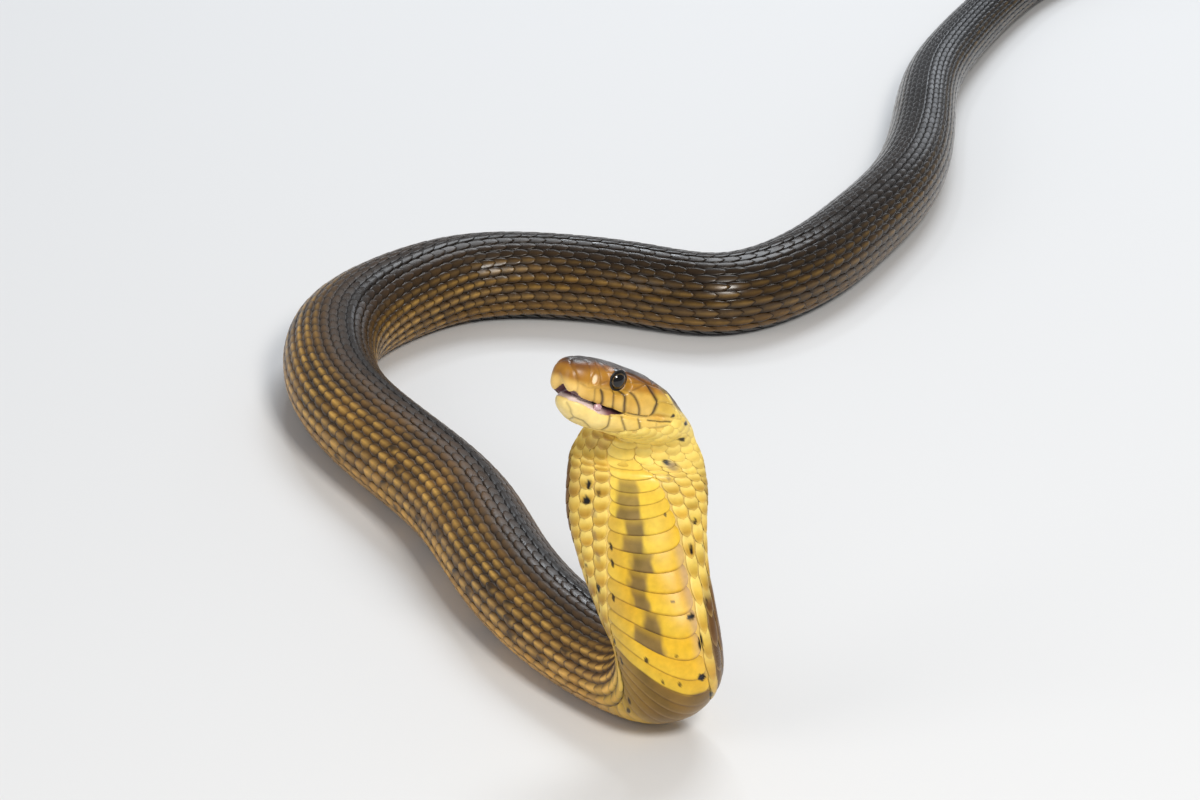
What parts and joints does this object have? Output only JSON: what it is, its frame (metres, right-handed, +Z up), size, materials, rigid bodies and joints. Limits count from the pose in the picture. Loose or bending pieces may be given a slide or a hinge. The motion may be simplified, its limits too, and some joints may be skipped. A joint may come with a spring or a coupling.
{
  "type": "snake",
  "caption": "Life-size still model of a reared forest cobra with a narrow hood, its body lying in a curve behind the lifted front.",
  "frame": {"origin": "on the floor, on the belly flat just behind the lifted front part", "axes": "+Z up; +Y leads away from the viewer along the lying body; +X to the viewer's right. The hood's belly side faces -Y."},
  "size_m": [0.5097, 0.7384, 0.1293],
  "materials": {
    "golden_scales": "satin",
    "tan_brown_scales": "satin",
    "black_brown_scales": "gloss",
    "eye_black": "gloss",
    "mouth_lining": "moist"
  },
  "bodies": {
    "root": {"head": "golden_scales", "lower_jaw": "golden_scales", "eye_left": "eye_black", "eye_right": "eye_black", "fang_sheath_left": "mouth_lining", "fang_sheath_right": "mouth_lining", "neck": "golden_scales", "hood": "golden_scales", "forebody": "golden_scales", "trunk_1": "tan_brown_scales", "trunk_2": "tan_brown_scales", "trunk_3": "tan_brown_scales", "trunk_4": "tan_brown_scales", "trunk_5": "tan_brown_scales", "trunk_6": "black_brown_scales", "trunk_7": "black_brown_scales", "trunk_8": "black_brown_scales", "trunk_9": "black_brown_scales", "tail_1": "black_brown_scales", "tail_2": "black_brown_scales"}
  },
  "joints": []
}
